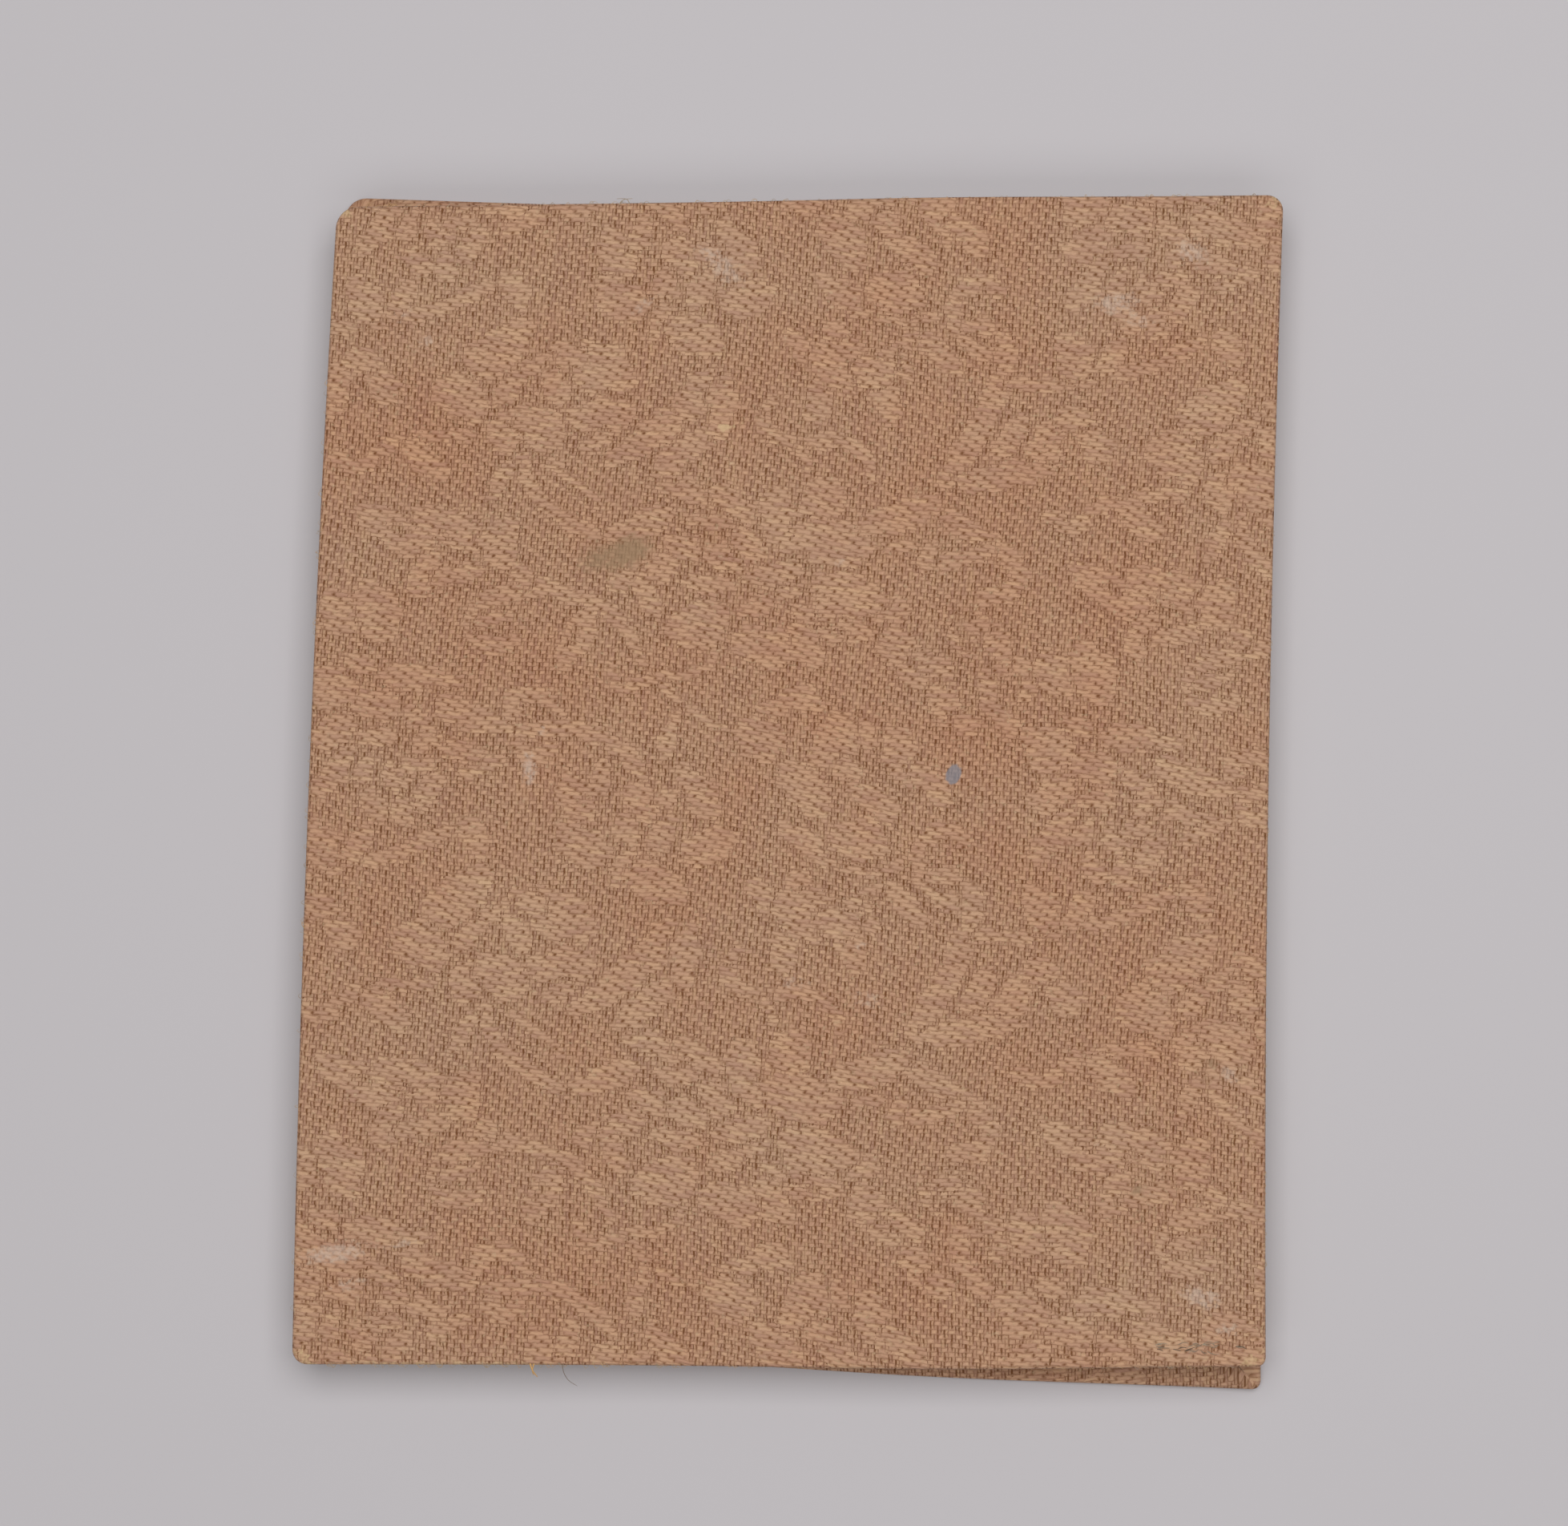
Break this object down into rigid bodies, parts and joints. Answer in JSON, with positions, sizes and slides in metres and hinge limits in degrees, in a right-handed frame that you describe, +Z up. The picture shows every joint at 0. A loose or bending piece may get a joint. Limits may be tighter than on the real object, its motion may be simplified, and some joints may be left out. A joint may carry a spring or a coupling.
{
  "type": "accordion book",
  "caption": "Closed accordion book: two cloth-covered boards joined by a paper strip folded in a zigzag, with both covers hinged along the same long edge.",
  "frame": {"origin": "middle of the closed book's footprint, on the surface that it lies on", "axes": "+X from the fore edge to the hinge edge, parallel to the panels' head; +Y along the hinge folds from tail to head; +Z up, out of the front cover"},
  "size_m": [0.0976, 0.1206, 0.0066],
  "materials": {
    "cloth": "figured satin weave, worn",
    "board": "grey pulp board",
    "paper": "matte, slightly yellowed"
  },
  "bodies": {
    "pages": {"page_strip": "paper"},
    "front_cover": {"front_board": "board", "front_cloth": "cloth", "front_end_panel": "paper"},
    "back_cover": {"back_board": "board", "back_cloth": "cloth", "back_end_panel": "paper"}
  },
  "joints": [
    {"name": "front_hinge", "type": "hinge", "parent": "pages", "child": "front_cover", "pos_m": [0.04787, 0, 0.00504], "axis": [0, 1, 0], "range_deg": [0, 180]},
    {"name": "back_hinge", "type": "hinge", "parent": "pages", "child": "back_cover", "pos_m": [0.04787, 0, 0.00155], "axis": [0, -1, 0], "range_deg": [0, 180]}
  ]
}
